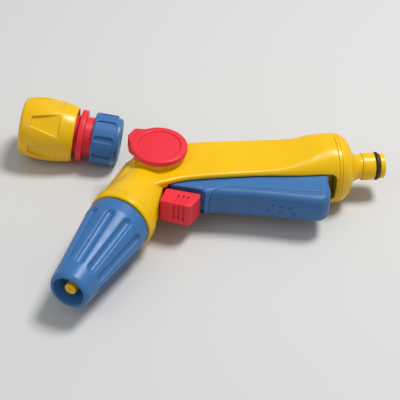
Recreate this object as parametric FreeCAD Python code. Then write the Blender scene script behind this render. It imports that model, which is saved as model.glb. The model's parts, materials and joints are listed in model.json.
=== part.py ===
import FreeCAD, Part
import math
import os

# Hose spray gun with its loose hose-end connector, lying on its side, in millimetres.
# Gun frame: X runs out of the inlet along the handle, -Y is the trigger side and +Z the knob side;
# its origin is on the inlet's axis, 2.6 mm outward of the O-ring. Every shape is moved to the row frame on export.

V = FreeCAD.Vector
X_AXIS = V(1, 0, 0)
Y_AXIS = V(0, 1, 0)
Z_AXIS = V(0, 0, 1)

# ---- driving dimensions -------------------------------------------------------------------
WALL = 2.4                      # wall of the moulded shells
BULGE_R = 20.7                  # round rear end of the handle, and the gun's height off the table
BODY_END = -30.7                # rear end of the body shells
HANDLE_HALF = 13.2              # half the handle's thickness along Z
BODY_ROUND = 4.5                # rounding along the handle's long edges
SLOT_HALF = 10.3                # half the width of the trigger slot
SLOT_REAR_X = -32.3             # rear wall of the trigger slot

NOZZLE_ANGLE = -121.0           # direction of the nozzle axis in the XY plane, degrees
NOZZLE_AT = V(-140, 1, 0)       # point on that axis from which lengths along it are measured
HEAD = V(-138.84, 2.93, 0)      # axis of the flow knob, which meets the nozzle axis
HEAD_R = 15.0
HEAD_TOP = 16.6
RING_FACE = 50.2                # distances along the nozzle axis
CONE_BASE = 51.0
CONE_TIP = 113.0
CONE_BASE_R = 19.0
CONE_TIP_R = 12.0
MOUTH_R = 9.3
ORIFICE_R = 5.0
PIN_R = 3.5
FLUTES = 10

KNOB_R = 17.2
KNOB_TAB_ANGLE = 143.0
LUG_ANGLE = 204.0

LAND_R = 8.6                    # male inlet tail
NECK_R = 7.6
BORE_R = 4.6
O_RING_X = -2.6
O_RING = (7.76, 1.1)            # mean radius and section radius of the inlet's O-ring
GROOVE_R = 6.65
TUBE_R = 6.0
TUBE_BORE_R = 4.3

VALVE_X = -88.0                 # valve stem axis, parallel to Y
VALVE_R = 7.5
CHAMBER_R = 5.2
SEAT_Y = 1.0
STEM_R = 2.2

PIVOT = V(-128, -16.5, 0)       # trigger pin
TRIGGER_HALF = 9.6
TRIGGER_WALL = 1.4
PIN_HALF = 12.0

LOCK_CENTRE = V(-130.4, -31.2, 0)
LOCK_ANGLE = -18.0
LOCK_HALF = 8.0
LOCK_TRAVEL = 2.0

SCREWS = [V(-122, 11.8, 0), V(-101, 12.0, 0), V(-68, 12.4, 0), V(-49, 12.6, 0)]
SCREW_IN_BARREL = (31.0, 11.4)  # along the nozzle axis, and to its side

CONNECTOR_END = V(-220.08, 51.87, 0.63)  # open end of the loose connector, on its axis
CONNECTOR_ANGLE = -12.7         # it lies on the rims of its collar and of its thinner nut,
CONNECTOR_TILT = 5.17           # so its axis dips toward the nut
COLLAR_R = 19.8
COLLAR_LEN = 34.2
SOCKET_R = 8.75
NUT_R = 16.2
NUT_START = 45.4
NUT_END = 63.0

RECESS_PHASE = -19.0           # turn of the collar's recesses about its axis
SLOT_PHASE = 13.0               # turn of the nut's slots

FIT = 0.05                      # radial clearance of a sliding or turning fit

ROW_SHIFT = V(110.6, 16.1, BULGE_R)   # gun frame to row frame


def direction(angle):
    return V(math.cos(math.radians(angle)), math.sin(math.radians(angle)), 0)


NOZZLE_AXIS = direction(NOZZLE_ANGLE)
NOZZLE_SIDE = direction(NOZZLE_ANGLE - 90)
CONNECTOR_AXIS = (direction(CONNECTOR_ANGLE) * math.cos(math.radians(CONNECTOR_TILT))
                  - Z_AXIS * math.sin(math.radians(CONNECTOR_TILT)))
LOCK_AXIS = direction(LOCK_ANGLE)


# ---- building blocks ----------------------------------------------------------------------
def lathe(profile, at, axis):
    """Closed outline of (distance along the axis, radius) points, turned about the axis."""
    wire = Part.makePolygon([V(a, 0, r) for a, r in profile + profile[:1]])
    solid = Part.Face(wire).revolve(V(0, 0, 0), X_AXIS, 360)
    solid.Placement = FreeCAD.Placement(at, FreeCAD.Rotation(X_AXIS, axis))
    return solid


def rod(radius, start, end, at, axis):
    return Part.makeCylinder(radius, end - start, at + axis * start, axis)


def tube(outer, inner, start, end, at, axis):
    return rod(outer, start, end, at, axis).cut(rod(inner, start - 1, end + 1, at, axis))


def o_ring(mean_radius, section_radius, along, at, axis):
    return Part.makeTorus(mean_radius, section_radius, at + axis * along, axis)


def prism(points, low, high):
    wire = Part.makePolygon([V(x, y, low) for x, y in points + points[:1]])
    return Part.Face(wire).extrude(V(0, 0, high - low))


def block(x0, x1, y0, y1, z0, z1):
    return Part.makeBox(x1 - x0, y1 - y0, z1 - z0, V(x0, y0, z0))


def placed(shape, at, angle):
    shape = shape.copy()
    shape.Placement = FreeCAD.Placement(at, FreeCAD.Rotation(Z_AXIS, angle))
    return shape


def rounded_rims(shape, radius, z_level):
    """Round the edges that lie flat at the heights +-z_level."""
    rims = []
    for edge in shape.Edges:
        box = edge.BoundBox
        if box.ZLength < 1e-6 and abs(abs(box.ZMin) - z_level) < 1e-6:
            rims.append(edge)
    return shape.makeFillet(radius, rims)


def spring(mean_radius, wire_radius, turns, start, end, at, axis):
    """Compression spring as a helix of round wire."""
    length = end - start - 2 * wire_radius
    path = Part.makeHelix(length / turns, length, mean_radius)
    section = Part.Wire(Part.Circle(V(mean_radius, 0, 0), Y_AXIS, wire_radius).toShape())
    coil = Part.Wire(path).makePipeShell([section], True, True)
    coil.Placement = FreeCAD.Placement(at + axis * (start + wire_radius), FreeCAD.Rotation(Z_AXIS, axis))
    return coil


def ring_of(shape, count, at, axis):
    """The same cutter repeated evenly about an axis, as one compound."""
    copies = []
    for i in range(count):
        copy = shape.copy()
        copy.rotate(at, axis, 360.0 * i / count)
        copies.append(copy)
    return Part.makeCompound(copies)


# ---- body shells --------------------------------------------------------------------------
def body_form(inset):
    """The whole outside of the body, or with an inset the hollow inside it."""
    half = HANDLE_HALF - inset
    outline = [(-36, 18.0 - inset), (-56, 17.7 - inset), (-75, 18.7 - inset), (-100, 19.1 - inset),
               (-130, 18.0 - inset), (-150 + inset, -8), (-146 + inset, -24 + inset), (-136, -22.2 + inset),
               (-126, -19.7 + inset), (-116, -18.7 + inset), (-100, -17.9 + inset), (-81, -17.7 + inset),
               (-57, -18.6 + inset), (-36, -17.8 + inset)]
    handle = rounded_rims(prism(outline, -half, half), BODY_ROUND - inset * 0.8, half)
    head = rod(HEAD_R - inset, -BULGE_R + inset, HEAD_TOP - inset, HEAD, Z_AXIS)
    barrel = lathe([(-9, 0), (-9, 13 - inset), (10, 14.6 - inset), (20, 15.6 - inset), (30, 17.2 - inset),
                    (38, 18.6 - inset), (45, 19.9 - inset), (45, 0)], NOZZLE_AT, NOZZLE_AXIS)
    bulge = lathe([(-62, 0), (-62, 13.5 - inset), (-50, 18.0 - inset), (-40, 20.4 - inset),
                   (-35, BULGE_R - inset), (BODY_END, BULGE_R - inset), (BODY_END, 0)], V(0, 0, 0), X_AXIS)
    return handle.fuse([head, barrel, bulge, side_panel(inset)]).removeSplitter()


def side_panel(inset):
    """Flat-faced panel along the barrel's outer side."""
    section = [(8, -9 + inset), (17 - inset, -8 + inset), (18.2 - inset, -6 + inset), (18.2 - inset, 5.3 - inset / 2),
               (13 - inset * 0.7, 11 - inset * 0.7), (8, 12.4 - inset)]
    wire = Part.makePolygon([V(4 + inset, -t, z) for t, z in section + section[:1]])
    panel = Part.Face(wire).extrude(V(34 - 2 * inset, 0, 0))
    panel.Placement = FreeCAD.Placement(NOZZLE_AT, FreeCAD.Rotation(X_AXIS, NOZZLE_AXIS))
    return panel


def stop_lug():
    """Small stop beside the knob."""
    return placed(block(14.6, 17.8, -1.5, 1.5, 8, 15.8), HEAD, LUG_ANGLE)


def lock_pocket():
    """Space that the lock slider travels in."""
    return placed(block(-11.0, 12.2 + LOCK_TRAVEL + 0.6, -16, 10.3, -LOCK_HALF - 0.4, LOCK_HALF + 0.4),
                  LOCK_CENTRE, LOCK_ANGLE)


def trigger_slot():
    return prism([(-128.6, -9), (SLOT_REAR_X, -9), (SLOT_REAR_X, -45), (-142, -45), (-136.6, -22.5)],
                 -SLOT_HALF, SLOT_HALF)


def screw_places():
    along, aside = SCREW_IN_BARREL
    return SCREWS + [NOZZLE_AT + NOZZLE_AXIS * along + NOZZLE_SIDE * aside]


def body_shells():
    outside = body_form(0)
    shell = outside.cut(body_form(WALL))
    pin_ears = block(PIVOT.x - 4, PIVOT.x + 4, -19, -9, SLOT_HALF, HANDLE_HALF - 1)
    pin_ears = outside.common(pin_ears.fuse(pin_ears.mirror(V(0, 0, 0), Z_AXIS)))
    bosses = [rod(3.4, -HANDLE_HALF + 1, HANDLE_HALF - 1, at, Z_AXIS) for at in screw_places()]
    shell = shell.fuse([pin_ears, stop_lug(), outside.common(Part.makeCompound(bosses))])
    cutters = [lock_pocket(), trigger_slot(), rod(7.4, 0, 30, HEAD, Z_AXIS),
               rod(1.55, -PIN_HALF, PIN_HALF, PIVOT, Z_AXIS), strip_form(0),
               rod(14.2, 40, 60, NOZZLE_AT, NOZZLE_AXIS),
               rod(18.0, SLOT_REAR_X, -20, V(0, 0, 0), X_AXIS)]
    for at in screw_places():
        cutters += [rod(1.25, -HANDLE_HALF, 9, at, Z_AXIS), rod(3.0, -BULGE_R, -8.5, at, Z_AXIS)]
    shell = shell.cut(cutters)
    upper = shell.common(block(-240, 20, -120, 60, 0, 40))
    lower = shell.common(block(-240, 20, -120, 60, -40, 0))
    return upper, lower


def strip_form(slack):
    """Narrow insert let into the back of the handle."""
    points = [(-122, 16.9), (-100, 17.6), (-75, 17.2), (-57, 16.3), (-57, 17.7), (-75, 18.65), (-100, 19.05),
              (-122, 18.2)]
    return prism(points, -4.5 + slack, 4.5 - slack)


def body_screws():
    screws = []
    for at in screw_places():
        head = rod(2.8, -10.3, -8.5, at, Z_AXIS).cut(rod(1.1, -11, -9.3, at, Z_AXIS))
        screws.append(head.fuse(rod(1.2, -8.6, 7.5, at, Z_AXIS)))
    return Part.makeCompound(screws)


def barrel_collar():
    """Ring that closes the front of the barrel."""
    return lathe([(44, 8.1), (44, 14.1), (45, 14.1), (45, 19.9), (49.2, 19.9), (RING_FACE, 19.3),
                  (RING_FACE, 8.1)], NOZZLE_AT, NOZZLE_AXIS)


# ---- water inlet --------------------------------------------------------------------------
def inlet_connector():
    outside = [(-36, BORE_R), (-36, 9.2), (-32.2, 9.2), (-32.2, 17.9), (BODY_END, 17.9), (BODY_END, 13.9),
               (-28.6, 13.9), (-28.6, BULGE_R - 0.1), (-26.3, 19.9), (-24.2, 18.9), (-22.3, 17.6), (-20.9, 15.5),
               (-19.8, 12.8), (-18.7, 10.6), (-17, 9.0), (-15, 7.9), (-13.4, NECK_R), (-12.5, NECK_R),
               (-12.0, LAND_R), (-4.3, LAND_R), (-4.3, GROOVE_R), (-0.9, GROOVE_R), (-0.9, 7.9), (1.7, 7.9),
               (2.5, 7.2), (2.5, BORE_R)]
    tail = lathe(outside, V(0, 0, 0), X_AXIS)
    return tail.cut(rod(TUBE_R, -37, -32, V(0, 0, 0), X_AXIS))


def end_ring():
    return tube(BULGE_R, 13.9 + FIT, BODY_END, -28.6, V(0, 0, 0), X_AXIS)


def water_tube():
    return tube(TUBE_R - FIT, TUBE_BORE_R, -76, -32, V(0, 0, 0), X_AXIS)


# ---- shut-off valve -----------------------------------------------------------------------
def valve_body():
    at = V(VALVE_X, 0, 0)
    origin = V(0, 0, 0)
    body = rod(VALVE_R, -13.5, 12, at, Y_AXIS)
    socket = rod(VALVE_R, -88, -68, origin, X_AXIS)
    spigot = rod(TUBE_R - FIT, -106, -88, origin, X_AXIS)
    body = body.fuse([socket, spigot])
    inward = V(-14, 5.2, 0)
    outward = V(14, -4.2, 0)
    cuts = [rod(CHAMBER_R, SEAT_Y, 13, at, Y_AXIS), rod(3.4, -9, SEAT_Y + 1, at, Y_AXIS),
            rod(CHAMBER_R, -9, SEAT_Y - 1.5, at, Y_AXIS), rod(STEM_R + FIT, -14, -8, at, Y_AXIS),
            rod(3.9, -12.2, -10.0, at, Y_AXIS), rod(TUBE_R, -76, -67, origin, X_AXIS),
            Part.makeCylinder(3.6, 11.5, V(-74.5, 0.6, 0), inward),
            Part.makeCylinder(3.4, 11.5, V(-104.5, -0.8, 0), outward), rod(3.6, -107, -103, origin, X_AXIS)]
    return body.cut(cuts)


def valve_cap():
    at = V(VALVE_X, 0, 0)
    return lathe([(10.2, 4.3), (10.2, CHAMBER_R), (12, CHAMBER_R), (12, VALVE_R), (14.4, VALVE_R), (14.4, 0),
                  (11.4, 0), (11.4, 4.3)], at, Y_AXIS)


def valve_stem():
    at = V(VALVE_X, 0, 0)
    return lathe([(-18.6, 0), (-18.6, 0.8), (-17.6, 2.0), (-17, STEM_R), (-7, STEM_R), (-6, 1.5), (2.6, 1.5),
                  (2.6, 4.5), (4.2, 4.5), (4.2, 2.4), (6.4, 2.4), (6.4, 0)], at, Y_AXIS)


def valve_washer():
    return tube(4.6, 1.55, SEAT_Y + 0.05, 2.6, V(VALVE_X, 0, 0), Y_AXIS)


# ---- head, flow control and nozzle --------------------------------------------------------
def head_core():
    """Moulded core: rotor housing, feed socket and the threaded barrel in one piece."""
    housing = rod(11.6, -13.4, 9.1, HEAD, Z_AXIS)
    feed = rod(8.2, -130, -97.2, V(0, 0, 0), X_AXIS)
    barrel = lathe([(0, 0), (0, 7.6), (44, 7.6), (44, 8.0), (RING_FACE + 0.1, 8.0), (RING_FACE + 0.1, 9.0),
                    (84, 9.0), (86, 8.4), (86, 0)], NOZZLE_AT, NOZZLE_AXIS)
    core = housing.fuse([feed, barrel])
    rotor_bore = rod(8.5, -11, 20, HEAD, Z_AXIS)
    return core.cut([rotor_bore, rod(TUBE_R, -106, -96, V(0, 0, 0), X_AXIS),
                     rod(3.8, -133, -105, V(0, 0, 0), X_AXIS), rod(5.2, 5, 90, NOZZLE_AT, NOZZLE_AXIS)])


def rotor_cap():
    return tube(11.6, 6.75, 9.1, 12.0, HEAD, Z_AXIS)


def flow_rotor():
    body = lathe([(-10.9, 0), (-10.9, 8.45), (-8.6, 8.45), (-8.6, 7.1), (-6.8, 7.1), (-6.8, 8.45), (5.6, 8.45),
                  (5.6, 7.1), (7.4, 7.1), (7.4, 8.45), (8.8, 8.45), (8.8, 6.7), (16.9, 6.7), (16.9, 5.0),
                  (18.4, 5.0), (18.4, 0)], HEAD, Z_AXIS)
    slot = block(-2, 12, -9, 9, -4.8, 4.8).cut(rod(3.4, -5, 5, V(-1.5, 0, 0), Z_AXIS))
    slot = placed(slot, HEAD, NOZZLE_ANGLE / 2)
    return body.cut([slot, rod(1.2, 12, 21, HEAD, Z_AXIS)])


def flow_knob():
    disc = lathe([(17.0, 0), (17.0, 16.0), (17.6, KNOB_R), (20.2, KNOB_R), (21.0, 16.4), (21.8, 13.9),
                  (21.6, 13.0), (19.9, 12.7), (19.9, 0)], HEAD, Z_AXIS)
    tab = prism([(10, -10.0), (19.5, -6.2), (20.8, -4.9), (20.8, 4.9), (19.5, 6.2), (10, 10.0)], 12.0, 20.4)
    tab = placed(tab, HEAD, KNOB_TAB_ANGLE).cut(rod(HEAD_R + 0.7, 5, 17.3, HEAD, Z_AXIS))
    bore = [rod(5.0 + FIT, 10, 18.4, HEAD, Z_AXIS), rod(12.7, 19.9, 30, HEAD, Z_AXIS),
            rod(2.7, 19.0, 30, HEAD, Z_AXIS), rod(1.3, 18, 30, HEAD, Z_AXIS)]
    return disc.fuse(tab).cut(bore)


def knob_screw():
    return rod(2.4, 19.0, 19.8, HEAD, Z_AXIS).fuse(rod(1.2, 12.5, 19.1, HEAD, Z_AXIS))


def knob_cap():
    """Plain disc that covers the knob's screw."""
    return rod(12.5, 19.9, 20.6, HEAD, Z_AXIS)


def jet_pin():
    """Centre pin on its three-armed spider; the shoulder closes the orifice."""
    pin = lathe([(79, 0), (79, 2.6), (86.1, 2.6), (93, 4.0), (95.8, 4.7), (98.6, PIN_R), (110, PIN_R),
                 (110.6, 3.0), (110.6, 0)], NOZZLE_AT, NOZZLE_AXIS)
    hub = tube(5.15, 4.3, 79, 85, NOZZLE_AT, NOZZLE_AXIS)
    arm = block(79, 85, -0.6, 0.6, 2.0, 4.6)
    arm.Placement = FreeCAD.Placement(NOZZLE_AT, FreeCAD.Rotation(X_AXIS, NOZZLE_AXIS))
    return pin.fuse([hub] + list(ring_of(arm, 3, NOZZLE_AT, NOZZLE_AXIS).Solids))


def nozzle_cone():
    outside = lathe([(CONE_BASE, 13.05), (CONE_BASE, 18.2), (CONE_BASE + 1.2, CONE_BASE_R),
                     (CONE_BASE + 9, CONE_BASE_R - 0.2), (CONE_TIP - 2, CONE_TIP_R), (CONE_TIP - 0.4, CONE_TIP_R - 0.8),
                     (CONE_TIP, MOUTH_R + 1.2), (CONE_TIP - 0.8, MOUTH_R), (CONE_TIP - 9, 7.2), (99.0, ORIFICE_R),
                     (97.4, ORIFICE_R), (92, 9.6), (77.6, 9.6), (77.6, 11.25), (75, 11.25), (75, 13.05)],
                    NOZZLE_AT, NOZZLE_AXIS)
    length = CONE_TIP - 12 - (CONE_BASE + 10)
    slope = math.degrees(math.atan2(CONE_BASE_R - CONE_TIP_R, CONE_TIP - CONE_BASE - 11))
    flute = Part.makeCylinder(2.4, length, V(0, 0, 0), X_AXIS)
    flute = flute.fuse(Part.makeSphere(2.4))
    flute.rotate(V(0, 0, 0), Y_AXIS, slope * 0.82)
    flute.translate(V(CONE_BASE + 10, 0, CONE_BASE_R + 0.8))
    flute.Placement = FreeCAD.Placement(NOZZLE_AT, FreeCAD.Rotation(X_AXIS, NOZZLE_AXIS)).multiply(flute.Placement)
    return outside.cut(ring_of(flute, FLUTES, NOZZLE_AT, NOZZLE_AXIS))


def nozzle_sleeve():
    """Threaded insert that runs on the barrel's thread."""
    return tube(13.05, 9.0 + FIT, 53, 75, NOZZLE_AT, NOZZLE_AXIS)


# ---- trigger and lock ---------------------------------------------------------------------
def trigger_side(front):
    """Side view of the trigger, closed along the given front line (from the left to the right)."""
    return front + [(-38.0, -29), (-38.0, -13.5), (-118, -13.5), (-124, -12.4), (-131.2, -12.6), (-134.4, -18.6),
                    (-134.6, -21.2), (-116.2, -27.2)]


def trigger_pieces():
    front = [(-115.6, -29.8), (-108, -29.8), (-92, -32.4), (-74, -35.3), (-53, -39.6), (-44, -40.4), (-40.4, -37.4)]
    inner_front = [(-115.6, -27.6), (-108, -27.6), (-92, -30.2), (-74, -33.1), (-53, -37.4), (-45, -38.2),
                   (-42.6, -36.2), (-40, -29)]
    seam = [(-112.5, -31), (-108, -27), (-103.5, -25), (-99, -24.5), (-87, -26.1), (-70, -28.8), (-54, -31.5),
            (-38, -33)]
    full = rounded_rims(prism(trigger_side(front), -TRIGGER_HALF, TRIGGER_HALF), 1.0, TRIGGER_HALF)
    cheeks = full.common(prism(trigger_side([(-115.6, -31)] + seam), -TRIGGER_HALF - 1, TRIGGER_HALF + 1))
    nose = full.common(prism(trigger_side(inner_front), -7.4, 7.4))
    core = cheeks.fuse(nose)
    grip = full.cut(core)
    inside = TRIGGER_HALF - TRIGGER_WALL
    wide = prism([(-114, -9), (-114, -24.2), (-108, -24), (-99, -22.9), (-87, -24.5), (-70, -27.2), (-54, -29.9),
                  (-41, -31.2), (-41, -9)], -inside, inside)
    deep = prism([(-112, -20), (-112, -26), (-108, -26.1), (-92, -28.7), (-74, -31.6), (-53, -35.9), (-45.6, -36.6),
                  (-43.8, -35), (-41.4, -29), (-41.4, -20)], -6, 6)
    end_notch = block(-43, -36, -19, -9, -inside, inside)
    cam = block(VALVE_X - 1.5, VALVE_X + 1.5, -31, -19, -3, 3)
    web = block(VALVE_X - 9, VALVE_X + 9, -31, -24, -1, 1)
    rail_space = placed(block(-16, 14.5, -20, 10.3, -inside, inside), LOCK_CENTRE, LOCK_ANGLE)
    lever = core.cut([wide, deep, end_notch]).fuse([cam, web]).common(core)
    lever = lever.cut([rail_space, rod(1.55, -12, 12, PIVOT, Z_AXIS)])
    return lever, grip.cut(end_notch)


def trigger_pin():
    return rod(1.5, -PIN_HALF, PIN_HALF, PIVOT, Z_AXIS)


def lock_slider():
    block_form = prism([(-10.4, -5.4), (5.6, -6.8), (12.2, 3.8), (12.2, 6.9), (-9.2, 6.9)], -LOCK_HALF, LOCK_HALF)
    rail = block(-8, 9, 6.9, 9.8, -5, 5)
    grooves = []
    for u in (-2.0, 0.8, 3.6):
        grooves.append(block(u - 0.7, u + 0.7, -9, 0.5, LOCK_HALF - 0.8, LOCK_HALF + 2))
        grooves.append(block(u - 0.7, u + 0.7, -9, -5.4, -LOCK_HALF - 1, LOCK_HALF + 1))
    return placed(block_form.fuse(rail).cut(grooves), LOCK_CENTRE, LOCK_ANGLE)


# ---- loose hose-end connector -------------------------------------------------------------
def collar_shape():
    body = lathe([(0, 12.0), (0, 15.4), (1, 16.7), (4, 18.5), (9, 19.5), (14, COLLAR_R), (18, COLLAR_R), (25, 19.1),
                  (30, 18.5), (33.5, 17.6), (COLLAR_LEN, 16.8), (COLLAR_LEN, 15.8), (12.4, 15.8), (12.4, 12.2),
                  (11, 12.2), (11, 15.0), (1.2, 15.0), (1.2, 12.0)], CONNECTOR_END, CONNECTOR_AXIS)
    side = Part.makePolygon([V(7.2, -3, 17.9), V(24.8, -7.2, 17.9), V(24.8, 7.2, 17.9), V(7.2, 3, 17.9),
                             V(7.2, -3, 17.9)])
    recess = Part.Face(side).extrude(V(0, 0, 6))
    turn = FreeCAD.Rotation(X_AXIS, CONNECTOR_AXIS).multiply(FreeCAD.Rotation(X_AXIS, RECESS_PHASE))
    recess.Placement = FreeCAD.Placement(CONNECTOR_END, turn)
    return body.cut(ring_of(recess, 6, CONNECTOR_END, CONNECTOR_AXIS))


def connector_body():
    outside = [(4, SOCKET_R), (4, 11.8), (26, 11.8), (26, 15.4), (29, 15.4), (29, 12.4), (36.5, 12.4),
               (36.5, 16.4), (40.3, 16.4), (40.3, 12.4), (52, 12.4), (52, 6.4), (54, 6.9), (54, 6.3),
               (56.5, 6.9), (56.5, 6.3), (59, 6.8), (61, 5.8), (61, 4.4), (42, 4.4), (42, 7.0), (25, 7.0),
               (25, 5.2), (24, 5.2), (24, 8.2), (20, 8.2), (20, SOCKET_R)]
    return lathe(outside, CONNECTOR_END, CONNECTOR_AXIS)


def latch_ring():
    """Split ring with four claws that drop behind the land of a male tail."""
    ring = tube(14.7, 11.9, 5.2, 10.4, CONNECTOR_END, CONNECTOR_AXIS)
    slit = block(5, 8.5, -1, 1, 9, 16)
    slit.Placement = FreeCAD.Placement(CONNECTOR_END, FreeCAD.Rotation(X_AXIS, CONNECTOR_AXIS))
    return ring.cut(ring_of(slit, 4, CONNECTOR_END, CONNECTOR_AXIS))


def stop_plunger():
    return lathe([(21.6, 0), (21.6, 4.3), (27, 4.3), (27, 6.3), (29.4, 6.3), (29.4, 3.0), (33, 3.0), (33, 0)],
                 CONNECTOR_END, CONNECTOR_AXIS)


def hose_collet():
    ring = lathe([(52.6, 8.6), (52.6, 12.2), (54, 12.6), (59.5, 11.6), (59.5, 8.6)],
                 CONNECTOR_END, CONNECTOR_AXIS)
    slit = block(54.5, 61, -0.8, 0.8, 8, 14)
    slit.Placement = FreeCAD.Placement(CONNECTOR_END, FreeCAD.Rotation(X_AXIS, CONNECTOR_AXIS))
    return ring.cut(ring_of(slit, 8, CONNECTOR_END, CONNECTOR_AXIS))


def hose_nut():
    nut = lathe([(NUT_START, 12.4 + FIT), (NUT_START, 15.4), (NUT_START + 1, NUT_R), (57.7, NUT_R), (58.5, 14.3),
                 (61.8, 13.7), (NUT_END, 12.4), (NUT_END, 8.2), (61.4, 8.2), (60.2, 12.9), (52.2, 12.9),
                 (52.2, 12.4 + FIT)], CONNECTOR_END, CONNECTOR_AXIS)
    slot = block(NUT_START + 1.1, 57.2, -1.6, 1.6, 14.9, 20)
    turn = FreeCAD.Rotation(X_AXIS, CONNECTOR_AXIS).multiply(FreeCAD.Rotation(X_AXIS, SLOT_PHASE))
    slot.Placement = FreeCAD.Placement(CONNECTOR_END, turn)
    return nut.cut(ring_of(slot, 9, CONNECTOR_END, CONNECTOR_AXIS))


# ---- assembly -----------------------------------------------------------------------------
def connector_nodes():
    at, axis = CONNECTOR_END, CONNECTOR_AXIS
    return {
        "connector_body": connector_body(),
        "latch_ring": latch_ring(),
        "release_collar": collar_shape(),
        "collar_spring": spring(13.8, 0.7, 4, 12.5, 25.9, at, axis),
        "stop_plunger": stop_plunger(),
        "stop_seal": o_ring(5.3, 0.93, 26.0, at, axis),
        "stop_spring": spring(4.2, 0.5, 5, 29.6, 41.8, at, axis),
        "hose_collet": hose_collet(),
        "hose_nut": hose_nut(),
    }


def gun_nodes():
    upper, lower = body_shells()
    lever, grip = trigger_pieces()
    valve_at = V(VALVE_X, 0, 0)
    inlet = V(0, 0, 0)
    return {
        "body_shell_upper": upper,
        "body_shell_lower": lower,
        "back_strip": strip_form(0),
        "body_screws": body_screws(),
        "barrel_collar": barrel_collar(),
        "end_ring": end_ring(),
        "inlet_connector": inlet_connector(),
        "inlet_o_ring": o_ring(*O_RING, O_RING_X, inlet, X_AXIS),
        "water_tube": water_tube(),
        "valve_body": valve_body(),
        "valve_cap": valve_cap(),
        "stem_seal": o_ring(3.05, 0.8, -11.1, valve_at, Y_AXIS),
        "valve_stem": valve_stem(),
        "valve_washer": valve_washer(),
        "valve_spring": spring(3.5, 0.45, 3, 4.2, 11.3, valve_at, Y_AXIS),
        "head_core": head_core(),
        "rotor_cap": rotor_cap(),
        "flow_rotor": flow_rotor(),
        "rotor_seal_lower": o_ring(7.75, 0.65, -7.7, HEAD, Z_AXIS),
        "rotor_seal_upper": o_ring(7.75, 0.65, 6.5, HEAD, Z_AXIS),
        "flow_knob": flow_knob(),
        "knob_screw": knob_screw(),
        "knob_cap": knob_cap(),
        "jet_pin": jet_pin(),
        "nozzle_cone": nozzle_cone(),
        "nozzle_sleeve": nozzle_sleeve(),
        "nozzle_seal": o_ring(10.13, 1.05, 76.3, NOZZLE_AT, NOZZLE_AXIS),
        "trigger_lever": lever,
        "trigger_grip": grip,
        "trigger_pin": trigger_pin(),
        "lock_slider": lock_slider(),
    }


os.makedirs("parts", exist_ok=True)
nodes = {**gun_nodes(), **connector_nodes()}
for name, shape in nodes.items():
    shape.translate(ROW_SHIFT)
    shape.exportStep("parts/" + name + ".step")
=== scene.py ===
import json
import math

import bpy
import numpy as np
from mathutils import Euler, Matrix, Vector


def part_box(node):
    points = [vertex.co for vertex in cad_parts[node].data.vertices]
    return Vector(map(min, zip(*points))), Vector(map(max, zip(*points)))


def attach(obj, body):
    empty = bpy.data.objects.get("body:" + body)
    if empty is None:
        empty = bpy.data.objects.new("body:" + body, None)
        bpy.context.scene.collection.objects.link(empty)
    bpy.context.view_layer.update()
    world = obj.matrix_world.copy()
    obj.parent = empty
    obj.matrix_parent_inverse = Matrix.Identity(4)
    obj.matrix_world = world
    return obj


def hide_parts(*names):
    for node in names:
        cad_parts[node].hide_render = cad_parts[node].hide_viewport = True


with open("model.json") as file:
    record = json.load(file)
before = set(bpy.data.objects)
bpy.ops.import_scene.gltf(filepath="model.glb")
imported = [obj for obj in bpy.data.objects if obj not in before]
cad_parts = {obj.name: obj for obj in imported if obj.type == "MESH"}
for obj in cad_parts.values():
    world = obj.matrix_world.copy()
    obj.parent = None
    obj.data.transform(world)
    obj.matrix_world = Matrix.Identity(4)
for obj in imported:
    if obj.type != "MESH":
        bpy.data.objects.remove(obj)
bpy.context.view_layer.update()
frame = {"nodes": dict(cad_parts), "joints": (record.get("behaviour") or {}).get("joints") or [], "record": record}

# Hose spray gun and its loose connector. Shapes are written in millimetres in a few local frames
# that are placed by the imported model; every mesh is then carried into the frame's metres.

MM = 0.001
JOINT = {joint["name"]: joint for joint in frame["joints"]}

# ---- shared dimensions, in millimetres ------------------------------------------------------
WALL = 2.4
BULGE_R = 20.7
BODY_END = -30.7
SLOT_HALF = 10.3
SLOT_REAR = -32.3
HEAD = (-138.84, 2.93)
HEAD_R = 15.0
HEAD_TOP = 16.6
NOZZLE_AT = (-140.0, 1.0)
NOZZLE_ANGLE = math.radians(-121.0)
BARREL_END = 45.0
RING_FACE = 50.2
CONE_BASE = 51.0
CONE_TIP = 113.0
O_RING_X = -2.6
SQUARED = (13.9, 0.055)
PIVOT = (-128.0, -16.5)
PIN_HOLE_R = 1.55
TRIGGER_HALF = 9.6
LOCK_CENTRE = (-130.4, -31.2)
LOCK_ANGLE = math.radians(-18.0)
LOCK_HALF = 8.0
LOCK_TRAVEL = 2.0
TAB_ANGLE = math.radians(143.0)
LUG_ANGLE = math.radians(204.0)
COLLAR_LEN = 34.2
NUT_START = 45.4
GAP = 0.05
SCREWS = [(-122, 11.8), (-101, 12.0), (-68, 12.4), (-49, 12.6)]
SCREW_IN_BARREL = (31.0, 11.4)


# ---- local frames ---------------------------------------------------------------------------
def centre_of(node):
    low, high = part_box(node)
    return (Vector(low) + Vector(high)) / 2


def local_frame(origin, x_axis):
    """Matrix that takes local millimetres to the frame's metres, with local Y level."""
    x = Vector(x_axis).normalized()
    y = Vector((0, 0, 1)).cross(x).normalized()
    turn = Matrix((x, y, x.cross(y))).transposed().to_4x4()
    return Matrix.Translation(Vector(origin)) @ turn @ Matrix.Scale(MM, 4)


GUN = local_frame(centre_of("inlet_o_ring") - Vector((O_RING_X * MM, 0, 0)), (1, 0, 0))
NOZZLE = local_frame(JOINT["nozzle_twist"]["pos_m"], JOINT["nozzle_twist"]["axis"])
KNOB = local_frame(JOINT["flow_turn"]["pos_m"], (1, 0, 0))
LOCK = local_frame(GUN @ Vector((*LOCK_CENTRE, 0)), JOINT["lock_slide"]["axis"])
CONNECTOR = local_frame(JOINT["nut_turn"]["pos_m"], JOINT["nut_turn"]["axis"])


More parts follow.
